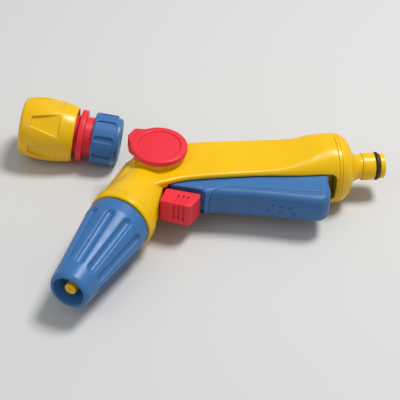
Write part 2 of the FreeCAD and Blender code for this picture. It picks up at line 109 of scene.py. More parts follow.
# ---- distance fields ------------------------------------------------------------------------
def union(a, b, blend=0.0):
    """Joins two fields; blend is the size of the fillet between them."""
    if blend == 0:
        return np.minimum(a, b)
    h = np.maximum(blend - np.abs(a - b), 0) / blend
    return np.minimum(a, b) - h * h * blend / 4


def cut(a, b, blend=0.0):
    """Takes b out of a; blend rounds the edge that is left."""
    return -union(-a, b, blend)


def both(a, b, blend=0.0):
    """What lies in both fields; blend rounds the edge."""
    return -union(-a, -b, blend)


def slab(d, t, low, high, edge):
    """Flat field d carried along t from low to high, with its rims rounded by edge."""
    w = np.abs(t - (low + high) / 2) - (high - low) / 2 + edge
    q = d + edge
    return np.minimum(np.maximum(q, w), 0) + np.hypot(np.maximum(q, 0), np.maximum(w, 0)) - edge


def cuboid(x, y, z, low, high, edge=0.0):
    """Box between two corners, with its edges rounded."""
    q = [np.abs(c - (a + b) / 2) - (b - a) / 2 + edge for c, a, b in zip((x, y, z), low, high)]
    inner = np.minimum(np.maximum(np.maximum(q[0], q[1]), q[2]), 0)
    outer = np.sqrt(sum(np.maximum(c, 0) ** 2 for c in q))
    return inner + outer - edge


def rod(u, v, t, radius, low, high, edge=0.0):
    """Round bar of that radius about u = v = 0, from low to high along t."""
    return slab(np.hypot(u, v) - radius, t, low, high, edge)


def outline(x, y, points):
    """Signed distance to a closed outline."""
    best = np.inf
    inside = np.zeros(np.broadcast(x, y).shape, bool)
    for (ax, ay), (bx, by) in zip(points, points[1:] + points[:1]):
        ex, ey = bx - ax, by - ay
        t = np.clip(((x - ax) * ex + (y - ay) * ey) / (ex * ex + ey * ey), 0, 1)
        best = np.minimum(best, np.hypot(x - ax - t * ex, y - ay - t * ey))
        crosses = (y < ay) != (y < by)
        slope = (x - ax) * ey - (y - ay) * ex
        inside ^= crosses & ((slope < 0) == (by > ay))
    return np.where(inside, -best, best)


def lathed(along, r, profile):
    """Field of a solid of revolution from its (along, radius, corner radius) outline."""
    return outline(along, r, rounded(profile))


def curve(t, knots):
    """Smooth curve through (t, value) knots, held constant beyond them."""
    at, value = np.array(knots, float).T
    slope = np.gradient(value, at)
    t = np.clip(t, at[0], at[-1])
    i = np.clip(np.searchsorted(at, t, side="right") - 1, 0, len(at) - 2)
    h = at[i + 1] - at[i]
    f = (t - at[i]) / h
    return (value[i] * (1 + 2 * f) * (1 - f) ** 2 + slope[i] * h * f * (1 - f) ** 2
            + value[i + 1] * f * f * (3 - 2 * f) + slope[i + 1] * h * f * f * (f - 1))


def ease(t):
    """Smooth step from 0 to 1."""
    t = np.clip(t, 0, 1)
    return t * t * (3 - 2 * t)


def turned_by(x, y, angle):
    """Coordinates of x, y seen in a frame turned by angle."""
    c, s = math.cos(angle), math.sin(angle)
    return x * c + y * s, y * c - x * s


def around(u, v, count, phase=0.0):
    """Folds the plane into one of count equal sectors: (radial, sideways) distances."""
    sector = 2 * math.pi / count
    angle = np.arctan2(v, u) - phase
    angle = (angle + sector / 2) % sector - sector / 2
    r = np.hypot(u, v)
    return r * np.cos(angle), r * np.sin(angle)


# ---- meshes ---------------------------------------------------------------------------------
CORNERS = [(i, j, k) for i in (0, 1) for j in (0, 1) for k in (0, 1)]
CELL_EDGES = [(a, b) for a in range(8) for b in range(a + 1, 8)
              if sum(abs(p - q) for p, q in zip(CORNERS[a], CORNERS[b])) == 1]


def object_from(name, points, faces, place):
    """Mesh object from local millimetres, shaded smooth."""
    mesh = bpy.data.meshes.new(name)
    mesh.from_pydata([], [], [])
    points = np.asarray(points, np.float64)
    faces = np.asarray(faces, np.int32)
    size = faces.shape[1]
    mesh.vertices.add(len(points))
    mesh.vertices.foreach_set("co", points.astype(np.float32).ravel())
    mesh.loops.add(faces.size)
    mesh.loops.foreach_set("vertex_index", faces.ravel())
    mesh.polygons.add(len(faces))
    mesh.polygons.foreach_set("loop_start", np.arange(0, faces.size, size, dtype=np.int32))
    mesh.polygons.foreach_set("use_smooth", np.ones(len(faces), bool))
    mesh.update(calc_edges=True)
    mesh.transform(place)
    mesh.validate()
    made = bpy.data.objects.new(name, mesh)
    bpy.context.scene.collection.objects.link(made)
    return made


def settle(points, field, step, h=0.03, rounds=4):
    """Moves points onto the field's surface along its slope, which is measured over h."""
    for _ in range(rounds):
        x, y, z = points.T
        d = field(x, y, z)
        slope = np.stack([field(x + h, y, z) - field(x - h, y, z), field(x, y + h, z) - field(x, y - h, z),
                          field(x, y, z + h) - field(x, y, z - h)], axis=1) / (2 * h)
        size = np.maximum((slope ** 2).sum(axis=1), 0.2)
        move = np.clip(d / size, -step / 3, step / 3)
        points = points - slope * move[:, None]
    return points


def surface(name, field, low, high, step, place):
    """Mesh of the surface where field(x, y, z) is 0, inside a box of local millimetres."""
    axes = [np.arange(a, b + step, step) for a, b in zip(low, high)]
    grid = np.meshgrid(*axes, indexing="ij", sparse=True)
    d = np.broadcast_to(field(*grid), [len(a) for a in axes])
    inside = d < 0
    n = np.array(d.shape) - 1
    count = sum(inside[i:n[0] + i, j:n[1] + j, k:n[2] + k].astype(np.int8) for i, j, k in CORNERS)
    active = (count > 0) & (count < 8)
    cell = np.argwhere(active)
    index = np.full(active.shape, -1, np.int32)
    index[active] = np.arange(len(cell))
    value = np.stack([d[tuple((cell + c).T)] for c in CORNERS], axis=1)
    total = np.zeros((len(cell), 3))
    hits = np.zeros((len(cell), 1))
    for a, b in CELL_EDGES:
        va, vb = value[:, a], value[:, b]
        crossed = (va < 0) != (vb < 0)
        t = np.where(crossed, va / np.where(crossed, va - vb, 1), 0)[:, None]
        start, end = np.array(CORNERS[a]), np.array(CORNERS[b])
        total += np.where(crossed[:, None], start + t * (end - start), 0)
        hits += crossed[:, None]
    points = np.array(low) + step * (cell + total / hits)
    quads = []
    for axis in range(3):
        u, v = (axis + 1) % 3, (axis + 2) % 3
        window = [slice(1, -1)] * 3
        window[axis] = slice(0, -1)
        ahead = list(window)
        ahead[axis] = slice(1, None)
        here, there = inside[tuple(window)], inside[tuple(ahead)]
        for leaving in (True, False):
            spot = np.argwhere(here & ~there if leaving else ~here & there)
            offset = np.ones(3, int)
            offset[axis] = 0
            spot = spot + offset
            du, dv = np.eye(3, dtype=int)[u], np.eye(3, dtype=int)[v]
            ring = [spot - du - dv, spot - dv, spot, spot - du]
            if not leaving:
                ring = ring[::-1]
            quads.append(np.stack([index[tuple(r.T)] for r in ring], axis=1))
    return object_from(name, settle(points, field, step), np.concatenate(quads), place)


def rounded(profile, segments=6):
    """Closed outline from (x, y, corner radius) points, with each corner as an arc."""
    points = []
    for i, (x, y, radius) in enumerate(profile):
        before, here, after = (Vector(profile[j % len(profile)][:2]) for j in (i - 1, i, i + 1))
        if radius == 0:
            points.append((x, y))
            continue
        a, b = (before - here).normalized(), (after - here).normalized()
        half = a.angle(b) / 2
        reach = radius / math.tan(half)
        middle = here + (a + b).normalized() * (radius / math.sin(half))
        start, end = here + a * reach - middle, here + b * reach - middle
        sweep = start.angle_signed(end)
        for k in range(segments + 1):
            spin = Matrix.Rotation(-sweep * k / segments, 2)
            points.append(tuple(middle + spin @ start))
    return points


def turned(name, profile, place, segments=128, axis="x", square=None):
    """Solid of revolution about the local X or Z axis, from (along, radius, corner radius) points.

    With square = (radius, amount) the rings outside that radius become a little squarer.
    """
    ring = np.array(rounded(profile))
    angles = np.arange(segments) * 2 * math.pi / segments
    along = np.repeat(ring[:, 0][None], segments, axis=0)
    radius = np.repeat(ring[:, 1][None], segments, axis=0)
    if square:
        share = ease((radius - square[0]) / 6)
        radius = radius * (1 + square[1] * share * np.sin(2 * angles)[:, None] ** 2)
    c, s = np.cos(angles)[:, None] * radius, np.sin(angles)[:, None] * radius
    order = (along, c, s) if axis == "x" else (c, s, along)
    points = np.stack(order, axis=-1).reshape(-1, 3)
    m = len(ring)
    i, j = np.meshgrid(np.arange(segments), np.arange(m), indexing="ij")
    i2, j2 = (i + 1) % segments, (j + 1) % m
    quads = np.stack([i * m + j, i2 * m + j, i2 * m + j2, i * m + j2], axis=-1).reshape(-1, 4)
    return object_from(name, points, quads, place)


def joined(name, pieces):
    """One object from several."""
    points, faces = [], []
    for piece in pieces:
        faces += [[len(points) + i for i in polygon.vertices] for polygon in piece.data.polygons]
        points += [tuple(vertex.co) for vertex in piece.data.vertices]
        bpy.data.objects.remove(piece)
    mesh = bpy.data.meshes.new(name)
    mesh.from_pydata(points, [], faces)
    mesh.polygons.foreach_set("use_smooth", np.ones(len(faces), bool))
    made = bpy.data.objects.new(name, mesh)
    bpy.context.scene.collection.objects.link(made)
    return made


def torus(name, mean_radius, section, along, place, sides=24):
    """Ring of round section about the local X axis."""
    circle = [(along + section * math.cos(a), mean_radius + section * math.sin(a), 0)
              for a in (2 * math.pi * k / sides for k in range(sides))]
    return turned(name, circle, place)


# ---- materials ------------------------------------------------------------------------------
def node_material(name, colour, roughness, **inputs):
    """Principled material; returns (material, nodes, links, shader)."""
    material = bpy.data.materials.new(name)
    material.use_nodes = True
    nodes, links = material.node_tree.nodes, material.node_tree.links
    shader = nodes["Principled BSDF"]
    shader.inputs["Base Color"].default_value = (*colour, 1)
    shader.inputs["Roughness"].default_value = roughness
    for key, value in inputs.items():
        shader.inputs[key.replace("_", " ")].default_value = value
    return material, nodes, links, shader


def noise(nodes, links, scale, detail=2.0, stretch=(1, 1, 1)):
    """Noise over the object's own coordinates, which are metres."""
    place = nodes.new("ShaderNodeTexCoord")
    mapping = nodes.new("ShaderNodeMapping")
    mapping.inputs["Scale"].default_value = stretch
    texture = nodes.new("ShaderNodeTexNoise")
    texture.inputs["Scale"].default_value = scale
    texture.inputs["Detail"].default_value = detail
    links.new(place.outputs["Object"], mapping.inputs["Vector"])
    links.new(mapping.outputs["Vector"], texture.inputs["Vector"])
    return texture.outputs["Fac"]


def spread(nodes, links, fac, low, high):
    """Maps 0..1 to low..high."""
    scale = nodes.new("ShaderNodeMapRange")
    scale.inputs["To Min"].default_value = low
    scale.inputs["To Max"].default_value = high
    links.new(fac, scale.inputs["Value"])
    return scale.outputs["Result"]


def tint(nodes, links, shader, fac, dark, light):
    """Drives the base colour between two colours."""
    mix = nodes.new("ShaderNodeMix")
    mix.data_type = "RGBA"
    mix.inputs["A"].default_value = (*dark, 1)
    mix.inputs["B"].default_value = (*light, 1)
    links.new(fac, mix.inputs["Factor"])
    links.new(mix.outputs["Result"], shader.inputs["Base Color"])


def bump(nodes, links, shader, height, distance, strength):
    node = nodes.new("ShaderNodeBump")
    node.inputs["Distance"].default_value = distance
    node.inputs["Strength"].default_value = strength
    links.new(height, node.inputs["Height"])
    links.new(node.outputs["Normal"], shader.inputs["Normal"])


def moulded_plastic(name, dark, light, roughness, grain, grain_depth, **inputs):
    """Moulded plastic: slow colour drift, uneven gloss and a fine grain."""
    material, nodes, links, shader = node_material(name, light, roughness, **inputs)
    drift = noise(nodes, links, 45, 3)
    tint(nodes, links, shader, drift, dark, light)
    gloss = noise(nodes, links, 160, 4)
    links.new(spread(nodes, links, gloss, roughness * 0.8, roughness * 1.25), shader.inputs["Roughness"])
    bump(nodes, links, shader, noise(nodes, links, grain, 2), grain_depth, 0.6)
    return material


YELLOW = moulded_plastic("yellow_gloss", (0.80, 0.45, 0.0), (0.88, 0.53, 0.0), 0.30, 700, 0.00001,
                         Specular_IOR_Level=0.32, Coat_Weight=0.10, Coat_Roughness=0.12)
BLUE = moulded_plastic("nozzle_blue", (0.036, 0.14, 0.35), (0.046, 0.17, 0.41), 0.36, 2600, 0.00004,
                       Specular_IOR_Level=0.35)
GRIP = moulded_plastic("grip_blue", (0.032, 0.12, 0.30), (0.042, 0.15, 0.36), 0.42, 3200, 0.00005,
                       Specular_IOR_Level=0.35, Sheen_Weight=0.05)
RED = moulded_plastic("control_red", (0.74, 0.020, 0.035), (0.84, 0.032, 0.055), 0.38, 900, 0.00001,
                      Specular_IOR_Level=0.35)
RUBBER = moulded_plastic("seal_rubber", (0.010, 0.010, 0.011), (0.022, 0.022, 0.024), 0.42, 1800, 0.00002)
WHITE = moulded_plastic("inner_white", (0.68, 0.67, 0.62), (0.80, 0.79, 0.75), 0.38, 1500, 0.00002)
GREY = moulded_plastic("inner_grey", (0.11, 0.115, 0.125), (0.19, 0.195, 0.21), 0.5, 2200, 0.00005)


def spring_steel():
    """Bright wire and screws, with drawn streaks."""
    material, nodes, links, shader = node_material("spring_steel", (0.62, 0.62, 0.61), 0.28, Metallic=1.0)
    streak = noise(nodes, links, 900, 3, (1, 1, 8))
    tint(nodes, links, shader, streak, (0.50, 0.50, 0.49), (0.70, 0.70, 0.68))
    links.new(spread(nodes, links, streak, 0.2, 0.38), shader.inputs["Roughness"])
    bump(nodes, links, shader, streak, 0.00001, 0.5)
    return material


STEEL = spring_steel()
SLOT_MATERIAL = {"yellow_gloss": YELLOW, "nozzle_blue": BLUE, "grip_blue": GRIP, "control_red": RED,
                 "seal_rubber": RUBBER, "spring_steel": STEEL, "inner_white": WHITE, "inner_grey": GREY}


def finish_piece(piece, slot_name, body, *nodes):
    """Material, slot, body and the CAD nodes that the piece stands for."""
    piece.data.materials.clear()
    piece.data.materials.append(SLOT_MATERIAL[slot_name])
    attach(piece, body)
    if nodes:
        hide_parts(*nodes)
    return piece


# ---- body: (x, value) knots along the handle for its front, back, half thickness and edges ----
FRONT = [(-146, -25.0), (-137, -22.2), (-128.5, -19.8), (-117, -18.4), (-105, -17.9), (-81, -17.5), (-66, -18.3),
         (-57, -19.0), (-48, -19.6), (-40, -20.3), (-34, -20.65), (-28, -20.65)]
BACK = [(-150, 15), (-130, 17.7), (-112, 18.7), (-100, 18.9), (-75, 18.5), (-57, 17.6), (-52, 17.9), (-47, 19.4),
        (-41, 20.3), (-35, 20.65), (-28, 20.65)]
HALF = [(-146, 13.4), (-130, 13.2), (-100, 13.2), (-78, 13.3), (-64, 14.4), (-54, 16.4), (-45, 18.7),
        (-38, 20.2), (-33, 20.65), (-28, 20.65)]
FRONT_EDGE = [(-120, 1.6), (-100, 1.9), (-80, 2.7), (-66, 4.2), (-50, 11), (-38, 17.6), (-28, 17.8)]
BACK_EDGE = [(-80, 8.8), (-66, 9.4), (-50, 13), (-38, 17.6), (-28, 17.8)]
PANEL = [(8, -9, 0), (16.9, -8.2, 1), (18.1, -6, 1), (18.1, 5.2, 1), (13, 10.8, 0.6), (8, 12.2, 0)]


def in_nozzle(x, y):
    """(along, sideways) distances in the nozzle's frame."""
    return turned_by(x - NOZZLE_AT[0], y - NOZZLE_AT[1], NOZZLE_ANGLE)


def body_outside(x, y, z):
    """Outer form of both body halves: handle, head, barrel, side panel and stop lug."""
    front, back, thick = curve(x, FRONT), curve(x, BACK), curve(x, HALF)
    middle, half = (front + back) / 2, (back - front) / 2
    side = ease((y - middle) / (2 * half) + 0.5)
    near, far = curve(x, FRONT_EDGE), curve(x, BACK_EDGE)
    round_edge = near + (far - near) * side
    q = np.abs(y - middle) - half + round_edge
    w = np.abs(z) - thick + round_edge
    handle = np.minimum(np.maximum(q, w), 0) + np.hypot(np.maximum(q, 0), np.maximum(w, 0)) - round_edge
    handle = both(handle, -146 - x, 4)
    head = rod(x - HEAD[0], y - HEAD[1], z, HEAD_R, -BULGE_R, HEAD_TOP, 1.2)
    s, n = in_nozzle(x, y)
    flare = 14.5 + 5.05 * np.clip((s - 10) / 33, 0, 2) ** 1.35
    barrel = both(np.hypot(n, z) - flare, -9 - s, 2)
    panel = slab(outline(-n, z, rounded(PANEL)), s, 4, 38, 2.0)
    u, v = turned_by(x - HEAD[0], y - HEAD[1], LUG_ANGLE)
    lug = cuboid(u, v, z, (14.6, -1.5, 8), (17.7, 1.5, 15.7), 0.8)
    form = union(handle, union(union(barrel, panel, 1.2), head, 2.5), 0.9)
    form = union(form, lug, 0.8)
    return both(both(form, x - BODY_END, 0.3), s - BARREL_END, 0.1)


def strip_pocket(x, y, z, slack):
    """Pocket for the strip in the handle's back, or the strip itself when slack is above 0."""
    return cuboid(x, y, z, (-121.8 + slack, 14, -4.5 + slack), (-57.2 - slack, 24, 4.5 - slack), 0.8)


def strip_floor(x, y, z):
    """Field that is inside above the floor of the strip's pocket."""
    return curve(x, BACK) - 1.4 - y


def screw_places():
    """Centres of the body screws: four along the handle and one in the barrel."""
    along, aside = SCREW_IN_BARREL
    c, s = math.cos(NOZZLE_ANGLE), math.sin(NOZZLE_ANGLE)
    return SCREWS + [(NOZZLE_AT[0] + along * c + aside * s, NOZZLE_AT[1] + along * s - aside * c)]


def trigger_slot(x, y, z):
    """Opening in the handle's front that the trigger swings in."""
    plan = outline(x, y, [(-128.6, -9), (-20, -9), (-20, -45), (-142, -45), (-136.6, -22.5)])
    return both(plan, slab(x - SLOT_REAR, z, 0.2 - SLOT_HALF, SLOT_HALF - 0.2, 3.8), 1)


def lock_pocket(x, y, z):
    """Opening that the lock slider and its travel need."""
    u, v = turned_by(x - LOCK_CENTRE[0], y - LOCK_CENTRE[1], LOCK_ANGLE)
    return cuboid(u, v, z, (-10.8, -16, -LOCK_HALF - 0.3), (12.2 + LOCK_TRAVEL + 0.6, 10.3, LOCK_HALF + 0.3), 1.2)


def body_shell(x, y, z):
    """Hollow body with its pivot blocks, screw posts and every opening."""
    outside = body_outside(x, y, z)
    shell = both(outside, -(outside + WALL))
    under_skin = outside + 0.4
    block_half, block_end = 4, 12.4
    left, right = PIVOT[0] - block_half, PIVOT[0] + block_half
    inner = both(cuboid(x, y, z, (left, -19, SLOT_HALF), (right, -9, block_end)), under_skin)
    inner = union(inner, both(cuboid(x, y, z, (left, -19, -block_end), (right, -9, -SLOT_HALF)), under_skin))
    for px, py in screw_places():
        inner = union(inner, both(rod(x - px, y - py, z, 3.4, -13, 13), under_skin))
    shell = union(shell, inner, 0.6)
    shell = cut(shell, trigger_slot(x, y, z), 0.8)
    shell = cut(shell, lock_pocket(x, y, z), 0.5)
    shell = cut(shell, rod(x - HEAD[0], y - HEAD[1], z, 7.4, 0, 30), 0.4)
    shell = cut(shell, rod(x - HEAD[0], y - HEAD[1], z, 22.0, HEAD_TOP + 0.05, 30), 0.6)
    s, n = in_nozzle(x, y)
    shell = cut(shell, rod(n, z, s, 14.2, 40, 60))
    shell = cut(shell, rod(y, z, x, 18.0, SLOT_REAR, -20))
    shell = cut(shell, rod(x - PIVOT[0], y - PIVOT[1], z, PIN_HOLE_R, -12, 12))
    shell = cut(shell, both(strip_pocket(x, y, z, 0.0), strip_floor(x, y, z)), 0.3)
    for px, py in screw_places():
        shell = cut(shell, rod(x - px, y - py, z, 1.25, -20, 9))
        shell = cut(shell, rod(x - px, y - py, z, 3.0, -25, -8.5), 0.4)
    return shell


def body_upper(x, y, z):
    return both(body_shell(x, y, z), 0.04 - z, 0.25)


def body_lower(x, y, z):
    return both(body_shell(x, y, z), z + 0.04, 0.25)


def back_strip(x, y, z):
    """Strip set into the handle's back, with fine ribs along it."""
    rib_depth, rib_pitch = 0.12, 1.5
    ribs = rib_depth * np.cos(z * 2 * math.pi / rib_pitch) * ease((4.2 - np.abs(z)) * 2)
    pocket = both(strip_pocket(x, y, z, 0.12), strip_floor(x, y, z) + GAP, 0.2)
    return both(pocket, body_outside(x, y, z) + 0.2 + ribs, 0.4)


def screw(x, y, z):
    """Cross-head screw, entered from below."""
    head = rod(x, y, z, 2.75, -10.3, -8.55, 0.4)
    shank = rod(x, y, z, 1.18, -8.8, 7.5, 0.3)
    cross = np.minimum(cuboid(x, y, z, (-1.6, -0.35, -12), (1.6, 0.35, -9.3)),
                       cuboid(x, y, z, (-0.35, -1.6, -12), (0.35, 1.6, -9.3)))
    return cut(union(head, shank, 0.3), cross, 0.15)


def make_body():
    step, past_parting = 0.55, 1.1
    low, high = (-188, -62, -21.5), (-29, 24.5, 21.5)
    finish_piece(surface("body_shell_upper_skin", body_upper, (*low[:2], -past_parting), high, step, GUN),
                 "yellow_gloss", "gun", "body_shell_upper")
    finish_piece(surface("body_shell_lower_skin", body_lower, low, (*high[:2], past_parting), step, GUN),
                 "yellow_gloss", "gun", "body_shell_lower")
    finish_piece(surface("back_strip_skin", back_strip, (-123, 14.5, -5.1), (-56, 20, 5.1), 0.35, GUN),
                 "yellow_gloss", "gun", "back_strip")
    parts = [surface("screw", screw, (-3, -3, -10.6), (3, 3, 7.8), 0.25, GUN @ Matrix.Translation((px, py, 0)))
             for px, py in screw_places()]
    finish_piece(joined("body_screws_skin", parts), "spring_steel", "gun", "body_screws")


# ---- inlet ----------------------------------------------------------------------------------
def make_inlet():
    tail = [(-36, 4.6, 0), (-36, 9.2, 0.3), (-32.2, 9.2, 0.3), (-32.2, 17.9, 0.3), (-30.75, 17.9, 0),
            (-30.75, 13.9, 0), (-28.55, 13.9, 0), (-28.55, 20.45, 0.35), (-26.3, 19.85, 4), (-24.2, 18.9, 4),
            (-22.3, 17.5, 3), (-20.9, 15.4, 3), (-19.8, 12.8, 3), (-18.7, 10.6, 2), (-17, 9.0, 3), (-15, 7.9, 3),
            (-13.4, 7.55, 2), (-12.3, 7.55, 0.2), (-12.0, 8.55, 0.35), (-4.3, 8.55, 0.3), (-4.3, 6.65, 0.2),
            (-0.9, 6.65, 0.2), (-0.9, 7.9, 0.25), (1.9, 7.85, 0.5), (2.45, 6.9, 0.3), (2.45, 4.9, 0.3),
            (1.9, 4.6, 0.2)]
    finish_piece(turned("inlet_connector_skin", tail, GUN, 160, square=SQUARED),
                 "yellow_gloss", "gun", "inlet_connector")
    ring = [(-30.55, 14, 0), (-30.55, 20.6, 0.2), (-28.7, 20.55, 0.2), (-28.7, 14, 0)]
    finish_piece(turned("end_ring_skin", ring, GUN, 160, square=SQUARED), "yellow_gloss", "gun", "end_ring")
    finish_piece(torus("inlet_o_ring_skin", 7.76, 1.08, O_RING_X, GUN), "seal_rubber", "gun", "inlet_o_ring")


# ---- knob and nozzle ------------------------------------------------------------------------
def knob(x, y, z):
    """Flow knob: a disc with a raised rim and a thumb tab that hangs over the head's edge."""
    r = np.hypot(x, y)
    disc = lathed(z, r, [(17.05, -1, 0), (17.05, 16.4, 0.3), (17.7, 17.15, 0.4), (20.2, 17.15, 0.7),
                         (20.9, 16.4, 0.8), (21.15, 13.2, 0.5), (20.2, 12.7, 0.1), (19.9, 12.7, 0), (19.9, -1, 0)])
    u, v = turned_by(x, y, TAB_ANGLE)
    plan = outline(u, v, rounded([(6, -11.6, 0), (14.5, -8.6, 3), (19.4, -6.1, 1.5), (20.7, -4.7, 0.7),
                                  (20.7, 4.7, 0.7), (19.4, 6.1, 1.5), (14.5, 8.6, 3), (6, 11.6, 0)]))
    tab = slab(plan, z, 12.05, 20.9, 0.9)
    tab = cut(tab, rod(x, y, z, HEAD_R + 0.7, 5, 17.3))
    tab = cut(tab, rod(x, y, z, 12.0, 5, 30))
    made = union(disc, tab, 0.8)
    made = cut(made, rod(x, y, z, 5.05, 10, 18.4))
    made = cut(made, rod(x, y, z, 12.7, 19.9, 30))
    return cut(made, rod(x, y, z, 2.7, 18, 30))


def make_knob():
    finish_piece(surface("flow_knob_skin", knob, (-18, -18, 11), (18, 22, 22.3), 0.4, KNOB),
                 "control_red", "flow_control", "flow_knob")
    cap = [(19.92, 0.01, 0), (19.92, 12.62, 0.1), (20.6, 12.62, 0.15), (20.6, 0.2, 0), (20.6, 0.01, 0)]
    finish_piece(turned("knob_cap_skin", cap, KNOB, axis="z"), "control_red", "flow_control", "knob_cap")


def cone(s, n, z):
    """Twist nozzle: a hollow cone with ten flutes that run out at both ends."""
    base_r, tip_r = 18.85, 12.0
    taper_from, taper_to = CONE_BASE + 8, CONE_TIP - 2.2
    flute_r, flute_mid, flute_half = 2.85, 81.0, 18.5
    r = np.hypot(n, z)
    form = lathed(s, r, [(CONE_BASE, 13.05, 0), (CONE_BASE, base_r, 0.8), (taper_from, base_r, 8),
                         (taper_to, tip_r, 1.2), (CONE_TIP - 0.1, 10.9, 0.7), (CONE_TIP - 0.3, 9.4, 0.4),
                         (CONE_TIP - 9, 7.2, 2), (99.0, 5.0, 0.3), (97.4, 5.0, 0.3), (92, 9.6, 0.5), (77.6, 9.6, 0),
                         (77.6, 11.25, 0), (75, 11.25, 0), (75, 13.05, 0)])
    out, side = around(n, z, 10, math.radians(18))
    top = base_r - (base_r - tip_r) / (taper_to - taper_from) * (s - taper_from)
    past = np.maximum(np.abs(s - flute_mid) - flute_half, 0)
    flute = np.sqrt(side ** 2 + past ** 2 + (out - top - 1.0) ** 2) - flute_r
    return cut(form, flute, 0.7)


def make_nozzle():
    ring = [(44, 8.2, 0), (44, 14.05, 0), (45.02, 14.05, 0), (45.02, 19.84, 0.1), (49.2, 19.8, 1.5),
            (RING_FACE, 19.2, 0.4), (RING_FACE, 8.2, 0)]
    finish_piece(turned("barrel_collar_skin", ring, NOZZLE), "yellow_gloss", "gun", "barrel_collar")
    finish_piece(surface("nozzle_cone_skin", cone, (50.4, -19.6, -19.6), (113.6, 19.6, 19.6), 0.5, NOZZLE),
                 "nozzle_blue", "nozzle", "nozzle_cone")
    pin = [(79, 0.01, 0), (79, 2.6, 0), (86.1, 2.6, 0.5), (93, 4.0, 1), (95.8, 4.65, 0.6), (98.6, 3.45, 0.8),
           (110.5, 3.45, 0.6), (110.5, 0.01, 0)]
    hub = [(79, 4.35, 0), (79, 5.1, 0.2), (85, 5.1, 0.2), (85, 4.35, 0)]
    arms = [turned("arm", [(79, 0.01, 0), (79, 0.55, 0), (79.6, 0.55, 0), (79.6, 0.01, 0)], NOZZLE, 8)]
    for k in range(3):
        spin = Matrix.Rotation(math.radians(120 * k), 4, "X")
        arms.append(surface("arm", lambda x, y, z: cuboid(x, y, z, (79, -0.55, 2.2), (85, 0.55, 4.6), 0.2),
                            (78.6, -1, 1.8), (85.4, 1, 5), 0.25, NOZZLE @ spin))
    pieces = [turned("pin", pin, NOZZLE, 96), turned("hub", hub, NOZZLE, 96)] + arms
    finish_piece(joined("jet_pin_skin", pieces), "yellow_gloss", "gun", "jet_pin")


# ---- trigger and lock: outlines are (x, y, corner radius), dimples are (x, z) -----------------
TRIGGER_BACK = [(-38.0, -29, 6), (-38.0, -13.6, 0.6), (-118, -13.6, 3), (-124, -12.5, 2), (-131.0, -12.7, 1.5),
                (-134.3, -18.6, 1.5), (-134.4, -21.1, 0.8), (-116.2, -27.3, 0.4)]
TRIGGER_FRONT = [(-115.5, -29.6, 1.5), (-108, -29.5, 10), (-92, -31.9, 40), (-74, -35.0, 40), (-53, -40.0, 30),
                 (-45, -41.4, 5), (-40.2, -38.6, 5)]
SEAM = [(-112.6, -31.5, 0), (-111.6, -29.2, 1.5), (-108, -26.6, 3), (-103.5, -24.9, 5), (-98, -24.5, 8),
        (-87, -26.1, 20), (-70, -28.9, 30), (-54, -31.5, 30), (-36, -33.6, 0)]
DIMPLES = [(-74.0, 2.3), (-68.8, 1.9), (-63.6, 1.5), (-76.3, -1.7), (-69.0, -2.7), (-61.5, -3.2)]


def trigger_plan(x, y):
    return outline(x, y, rounded(TRIGGER_FRONT + TRIGGER_BACK))


def trigger_core(x, y, z):
    """Field of the hard lever's share of the trigger."""
    plan = outline(x, y, rounded(TRIGGER_BACK[1:] + [(-115.5, -33, 0), (-112.6, -33, 0)] + SEAM[1:-1]
                                 + [(-38.0, -33.3, 0)]))
    return union(plan, both(trigger_plan(x, y) + 2.8, np.abs(z) - 6.4))


def trigger_outside(x, y, z):
    """Whole trigger: crisp along the handle's lip, well rounded along its front."""
    ahead = ease((-18 - y) / 8)
    bow = 1.5 * ahead * (z / TRIGGER_HALF) ** 2
    edge = 1.0 + ahead * (1.8 * ease((x + 120) / 6) + 1.4 * ease((x + 75) / 40))
    return slab(trigger_plan(x, y - bow), z, -TRIGGER_HALF, TRIGGER_HALF, edge)


def trigger_lever(x, y, z):
    """Hard, hollow lever: open at the back and under the lock, with the cam that pushes the valve."""
    lever = both(trigger_outside(x, y, z), trigger_core(x, y, z) + GAP, 0.3)
    inside = TRIGGER_HALF - 1.4
    wide = outline(x, y, [(-114, -5), (-114, -24.2), (-108, -24), (-99, -22.9), (-87, -24.5), (-70, -27.2),
                          (-54, -29.9), (-41, -31.2), (-41, -5)])
    lever = cut(lever, both(wide, np.abs(z) - inside), 0.5)
    deep = outline(x, y, [(-112, -20), (-112, -25), (-108, -25.1), (-92, -27.7), (-74, -30.6), (-53, -34.9),
                          (-45.6, -35.6), (-43.8, -34), (-41.4, -28), (-41.4, -20)])
    lever = cut(lever, both(deep, np.abs(z) - 5))
    lever = cut(lever, cuboid(x, y, z, (-43, -19, -inside), (-36, -9, inside)), 0.4)
    cam = cuboid(x, y, z, (-89.5, -31, -3), (-86.5, -19.05, 3), 0.4)
    web = cuboid(x, y, z, (-97, -31, -1), (-79, -24, 1), 0.3)
    lever = union(lever, both(union(cam, web, 0.5), trigger_plan(x, y) + 3.2), 0.3)
    u, v = turned_by(x - LOCK_CENTRE[0], y - LOCK_CENTRE[1], LOCK_ANGLE)
    lever = cut(lever, cuboid(u, v, z, (-16, -20, -inside), (14.5, 10.3, inside)), 0.3)
    return cut(lever, rod(x - PIVOT[0], y - PIVOT[1], z, PIN_HOLE_R, -12, 12))


def trigger_grip(x, y, z):
    """Soft grip over the lever's front, with its dimples."""
    outside = trigger_outside(x, y, z)
    grip = both(outside, GAP - trigger_core(x, y, z), 0.3)
    for across, height in DIMPLES:
        spot = np.hypot((x - across) / 1.15, (z - height) / 0.9) - 1
        grip = cut(grip, both(both(spot * 0.9, -outside - 0.6), y + 25), 0.5)
    return cut(grip, cuboid(x, y, z, (-43, -19, -8.2), (-36, -9, 8.2)))


